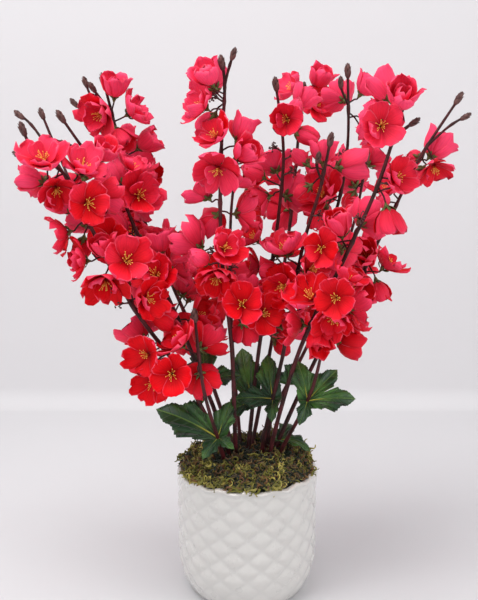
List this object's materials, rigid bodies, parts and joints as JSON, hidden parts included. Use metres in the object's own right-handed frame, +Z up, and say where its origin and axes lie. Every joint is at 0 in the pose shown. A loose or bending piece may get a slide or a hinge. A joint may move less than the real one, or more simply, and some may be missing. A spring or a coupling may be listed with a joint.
{
  "type": "potted cherry blossom arrangement",
  "caption": "Tall sprays of red-pink cherry blossom with dark stems, bud tips and toothed leaves, standing in moss in a white quilted ceramic pot.",
  "frame": {"origin": "middle of the pot's foot, on the surface that it stands on", "axes": "+Z up along the pot's axis and the stems, -Y towards the front of the arrangement, +X to the viewer's right"},
  "size_m": [0.426, 0.2689, 0.538],
  "materials": {
    "glazed_white": "gloss",
    "foam": "matte",
    "moss": "matte",
    "bark": "satin",
    "leaf": "satin",
    "petal": "matte"
  },
  "bodies": {
    "root": {"pot": "glazed_white", "foam_block": "foam", "moss": "moss", "stems_left": "bark", "stems_centre": "bark", "stems_right": "bark", "leaf_1": "leaf", "leaf_2": "leaf", "leaf_3": "leaf", "leaf_4": "leaf", "leaf_5": "leaf", "leaf_6": "leaf", "leaf_7": "leaf", "blossoms_left_outer_1": "petal", "blossoms_left_outer_2": "petal", "blossoms_left_outer_3": "petal", "blossoms_left_outer_4": "petal", "blossoms_left_outer_5": "petal", "blossoms_left_outer_6": "petal", "blossoms_left_middle_1": "petal", "blossoms_left_middle_2": "petal", "blossoms_left_middle_3": "petal", "blossoms_left_middle_4": "petal", "blossoms_left_middle_5": "petal", "blossoms_left_back_1": "petal", "blossoms_left_back_2": "petal", "blossoms_left_back_3": "petal", "blossoms_left_back_4": "petal", "blossoms_left_back_5": "petal", "blossoms_front_left_1": "petal", "blossoms_centre_left_1": "petal", "blossoms_centre_left_2": "petal", "blossoms_centre_left_3": "petal", "blossoms_centre_left_4": "petal", "blossoms_centre_left_5": "petal", "blossoms_centre_1": "petal", "blossoms_centre_2": "petal", "blossoms_centre_3": "petal", "blossoms_centre_4": "petal", "blossoms_centre_back_1": "petal", "blossoms_centre_back_2": "petal", "blossoms_centre_back_3": "petal", "blossoms_back_left_1": "petal", "blossoms_back_left_2": "petal", "blossoms_centre_right_1": "petal", "blossoms_centre_right_2": "petal", "blossoms_right_inner_1": "petal", "blossoms_right_inner_2": "petal", "blossoms_right_inner_3": "petal", "blossoms_right_front_1": "petal", "blossoms_right_front_2": "petal", "blossoms_right_front_3": "petal", "blossoms_right_front_4": "petal", "blossoms_right_outer_1": "petal", "blossoms_right_outer_2": "petal", "blossoms_right_outer_3": "petal", "blossoms_right_outer_4": "petal", "blossoms_back_right_1": "petal", "blossoms_back_right_2": "petal", "blossoms_front_right_1": "petal"}
  },
  "joints": []
}
